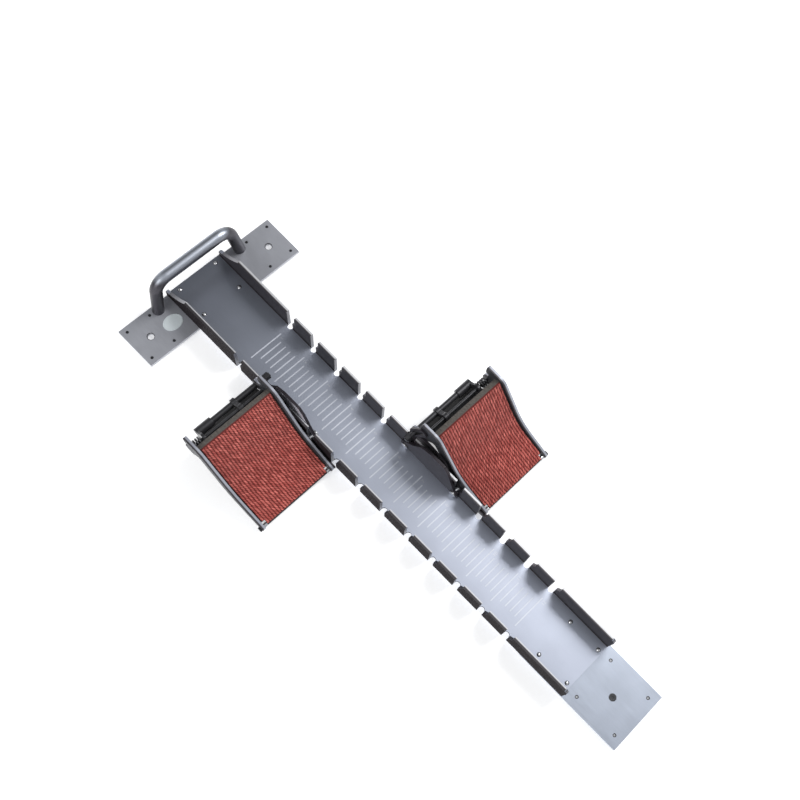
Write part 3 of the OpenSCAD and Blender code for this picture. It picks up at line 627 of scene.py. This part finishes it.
def mat_face():
    """Red cord rubber: colour darkens in the hollows between the cords as painted shade,
    and follows each stitch's tone.
    """
    material, tree, shade = finish("mat_red_cord")
    height = put(tree, "ShaderNodeAttribute", attribute_name="cord_height")
    tone = put(tree, "ShaderNodeAttribute", attribute_name="stitch_tone")
    fleck = grain(tree, (1500, 1500, 1500), 3)
    # The cords' hollows are painted dark as painted shade, by the cord height.
    groove_shade = span(tree, fleck.outputs["Fac"], (0.075, 0.009, 0.007), (0.16, 0.022, 0.018))
    crest = span(tree, tone.outputs["Fac"], (0.47, 0.096, 0.08), (0.75, 0.205, 0.172))
    groove_shade_mask = put(tree, "ShaderNodeMapRange",
                [("Value", height.outputs["Fac"]), ("From Min", 0.22), ("From Max", 0.78)])
    tint = span(tree, groove_shade_mask.outputs[0], groove_shade, crest)
    bump = put(tree, "ShaderNodeBump",
               [("Height", fleck.outputs["Fac"]), ("Strength", 0.4), ("Distance", 0.0004)])
    tree.links.new(tint, shade.inputs["Base Color"])
    tree.links.new(bump.outputs[0], shade.inputs["Normal"])
    shade.inputs["Roughness"].default_value = 0.9
    shade.inputs["Sheen Weight"].default_value = 0.15
    shade.inputs["Specular IOR Level"].default_value = 0.2
    return material


mat_skin = mat_face()


def mat_path():
    """Length of the mat's face from top to toe, and a function that follows it."""
    top, bend, toe = Vector(MAT_TOP), Vector(MAT_BEND), Vector(MAT_TOE)
    first, second = (bend - top).normalized(), (toe - bend).normalized()
    turn = math.acos(first.dot(second))
    cut = MAT_R * math.tan(turn / 2)
    straight = (bend - top).length - cut
    arc = MAT_R * turn
    total = straight + arc + (toe - bend).length - cut
    start = top + first * straight
    centre = start + Vector((-first.y, first.x)) * MAT_R

    def at(length):
        """Point and normal of the face at a length from its top."""
        if length <= straight:
            return top + first * length, Vector((-first.y, first.x))
        if length <= straight + arc:
            away = Matrix.Rotation((length - straight) / MAT_R, 2) @ (start - centre)
            return centre + away, -away.normalized()
        run = length - straight - arc
        return bend + second * (cut + run), Vector((-second.y, second.x))

    return total, at


def chance(*numbers):
    """A fixed scatter between 0 and 1 from whole numbers."""
    mixed = sum(n * f for n, f in zip(numbers, (12.9898, 78.233, 37.719)))
    return (math.sin(mixed) * 43758.5453) % 1


def ribbed_mat(side, sign, rear_pin):
    """The mat's face is swept from top to toe and raised into rows of slanted cords."""
    total, at = mat_path()
    width = MAT_OUTER - MAT_INNER
    across, along, notch_col = 252, 300, 10
    notch_row = next(i for i in range(along) if at(total * i / along)[0].x > TOE_CUT_X)
    columns = (0, notch_col, across - notch_col, across)
    bm = bmesh.new()
    bmesh.ops.create_grid(bm, x_segments=along, y_segments=across, size=0.5)
    raised = bm.verts.layers.float.new("cord_height")
    toned = bm.verts.layers.float.new("stitch_tone")
    spots = {v: (round((v.co.x + 0.5) * along), round((v.co.y + 0.5) * across))
             for v in bm.verts}
    bmesh.ops.delete(bm, context="FACES", geom=[
        f for f in bm.faces
        if min(spots[v][0] for v in f.verts) >= notch_row
        and min(max(spots[v][1] for v in f.verts),
                across - min(spots[v][1] for v in f.verts)) <= notch_col])
    for v in bm.verts:
        u, w = spots[v][0] / along, spots[v][1] / across
        length = u * total

        # Each row of cord wanders a little, and its stitches slant across it.
        row = min(int(w * CORD_ROWS), CORD_ROWS - 1)
        f = w * CORD_ROWS - row
        wander = 0.14 * math.sin(length * 420 + row * 1.9)
        f = min(1, max(0, f + wander * (0.5 - abs(f - 0.5)) * 2))
        t = length / STITCH + chance(row, 1) * 0.9 + (f - 0.5) * 1.3
        knot = int(t)
        lift = 0.8 + 0.4 * (chance(row, knot, 3) - 0.5)
        round_cord = max(0.0, 1 - (2 * f - 1) ** 2) ** 0.7
        bead = max(0.0, math.sin(math.pi * (t - knot))) ** 0.7
        height = round_cord * (0.25 + 0.75 * bead) * lift

        # The cords run out flat at the rim.
        rim = min(1, u * total / RIM_WIDE, min(w, 1 - w) * width / RIM_WIDE,
                  0.35 + (1 - u) * total / RIM_WIDE)
        v[raised] = height * rim
        v[toned] = chance(row, knot, 7)
        point, normal = at(length)
        rise = (height - 1) * CORD_HIGH + CREST - (1 - rim) * RIM_DROP
        spot = point + normal * rise
        v.co = Vector((rear_pin + spot.x, sign * (MAT_INNER + width * w), spot.y))

    # The rim is drawn down to a flat back, whose corners alone are kept as points.
    border = [e for e in bm.edges if e.is_boundary]
    above = {v for e in border for v in e.verts}
    skirt = bmesh.ops.extrude_edge_only(bm, edges=border)["geom"]
    low = [g for g in skirt if isinstance(g, bmesh.types.BMVert)]

    def underside(v, spot):
        """Put a point on the mat's flat back, under its spot in the grid."""
        point, normal = at(total * spot[0] / along)
        v.co = Vector((rear_pin + point.x - normal.x * MAT_THICK,
                       sign * (MAT_INNER + width * spot[1] / across),
                       point.y - normal.y * MAT_THICK))
        v[raised] = 0.05

    straight = []
    for v in low:
        spot = spots[next(e.other_vert(v) for e in v.link_edges
                          if e.other_vert(v) in above)]
        underside(v, spot)
        if spot[0] in (0, notch_row, along) and spot[1] not in columns:
            straight.append(v)
    bmesh.ops.dissolve_verts(bm, verts=straight)
    before = set(bm.verts)
    bmesh.ops.create_grid(bm, x_segments=along, y_segments=3, size=0.5)
    backing = [v for v in bm.verts if v not in before]
    places = {v: (round((v.co.x + 0.5) * along), round((v.co.y + 0.5) * 3))
              for v in backing}
    bmesh.ops.delete(bm, context="FACES", geom=[
        f for f in bm.faces if all(v in places for v in f.verts)
        and min(places[v][0] for v in f.verts) >= notch_row
        and {places[v][1] for v in f.verts} in ({0, 1}, {2, 3})])
    for v in backing:
        if v.is_valid:
            underside(v, (places[v][0], columns[places[v][1]]))
    bmesh.ops.remove_doubles(bm, dist=1e-6,
                             verts=[v for v in low + backing if v.is_valid])
    bmesh.ops.recalc_face_normals(bm, faces=bm.faces)
    for face in bm.faces:
        face.smooth = len(face.verts) == 4
    mesh = bpy.data.meshes.new(f"{side}_ribbed_mat")
    bm.to_mesh(mesh)
    bm.free()
    mesh.materials.append(mat_skin)
    mat = added(f"{side}_ribbed_mat", mesh)
    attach(mat, f"{side}_pedal")
    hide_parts(f"{side}_face_mat")


for side, sign, rear_pin in UNITS:
    ribbed_mat(side, sign, rear_pin)

# ---------------------------------------------------------------- lock rods
# Behind each board a black lock rod slides in the inner side plate and a guide, with a
# grip and a yoke that run on a second, fixed rod. A folded black sheet fills the gap
# under the rods as painted shade.
SHADE_SHEET_LINE = ((0.0085, 0.0417), (0.0049, 0.0465), (0.04425, 0.0757))
SHADE_SHEET_INNER, SHADE_SHEET_WIDE, SHEET = 0.0615, 0.1055, 0.0014
# The black sheet under the rods stands for shade there: painted shade.
shade_sheet_skin = painted("painted_shade_sheet_black", (0.012, 0.012, 0.013), 0.5, 0.2, glance=0.3)
for side, sign, rear_pin in UNITS:
    for node in ("lock_rod", "release_yoke"):
        eased(f"{side}_{node}", f"{side}_release", (black_steel,))
    eased(f"{side}_lock_nut", f"{side}_release", (dark_steel,))
    for node in ("tie_rod", "rod_guide"):
        eased(f"{side}_{node}", f"{side}_pedal", (black_steel,))


def painted_shade_sheet(side, sign, rear_pin):
    """A sheet of painted shade folded from black: a lip, a fold, and a flat that ends on
    the board.
    """
    bm = bmesh.new()
    fold = [bm.verts.new((rear_pin + x, sign * SHADE_SHEET_INNER, z)) for x, z in SHADE_SHEET_LINE]
    edges = [bm.edges.new(pair) for pair in zip(fold, fold[1:])]
    run = bmesh.ops.extrude_edge_only(bm, edges=edges)["geom"]
    bmesh.ops.translate(bm, vec=(0, sign * SHADE_SHEET_WIDE, 0),
                        verts=[g for g in run if isinstance(g, bmesh.types.BMVert)])
    bmesh.ops.recalc_face_normals(bm, faces=bm.faces)
    bmesh.ops.solidify(bm, geom=list(bm.faces), thickness=SHEET)
    bmesh.ops.recalc_face_normals(bm, faces=bm.faces)
    bmesh.ops.bevel(bm, geom=list(bm.edges), offset=0.0004, offset_type="OFFSET",
                    segments=2, profile=0.5, affect="EDGES", material=-1)
    mesh = bpy.data.meshes.new(f"{side}_painted_shade_sheet")
    bm.to_mesh(mesh)
    bm.free()
    mesh.materials.append(shade_sheet_skin)
    shade_sheet = added(f"{side}_painted_shade_sheet", mesh)
    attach(shade_sheet, f"{side}_pedal")


for side, sign, rear_pin in UNITS:
    painted_shade_sheet(side, sign, rear_pin)

# ---------------------------------------------------------------- return springs
# A return spring of round black wire sits on the fixed rod, between the yoke and the
# outer side plate. The yoke presses it together when the lock rod is pulled.
ROD_AHEAD, ROD_Z = 0.019, 0.070


def coil_spring(side, sign, rear_pin):
    """Round wire wound in a helix round the fixed rod, whose axis lies at x and z."""
    radius, wire, turns, steps = 0.0064, 0.0015, 3.2, 112
    start, end = 0.1680, 0.1832
    x, z = rear_pin + ROD_AHEAD, ROD_Z
    bm = bmesh.new()
    ring = bmesh.ops.create_circle(
        bm, cap_ends=True, radius=wire, segments=12,
        matrix=Matrix.Translation((x + radius, sign * (start + wire), z)))
    rise = sign * (end - start - 2 * wire) / steps
    bmesh.ops.spin(bm, geom=ring["verts"] + list(bm.edges) + list(bm.faces),
                   cent=(x, 0, z), axis=(0, 1, 0), dvec=(0, rise, 0),
                   angle=math.tau * turns, steps=steps, use_duplicate=False)
    bmesh.ops.recalc_face_normals(bm, faces=bm.faces)
    for face in bm.faces:
        face.smooth = len(face.verts) == 4
    mesh = bpy.data.meshes.new(f"{side}_coil_spring")
    bm.to_mesh(mesh)
    bm.free()
    mesh.materials.append(black_steel)
    spring = added(f"{side}_coil_spring", mesh)
    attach(spring, f"{side}_pedal")
    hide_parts(f"{side}_return_spring")
    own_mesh(spring)


for side, sign, rear_pin in UNITS:
    coil_spring(side, sign, rear_pin)
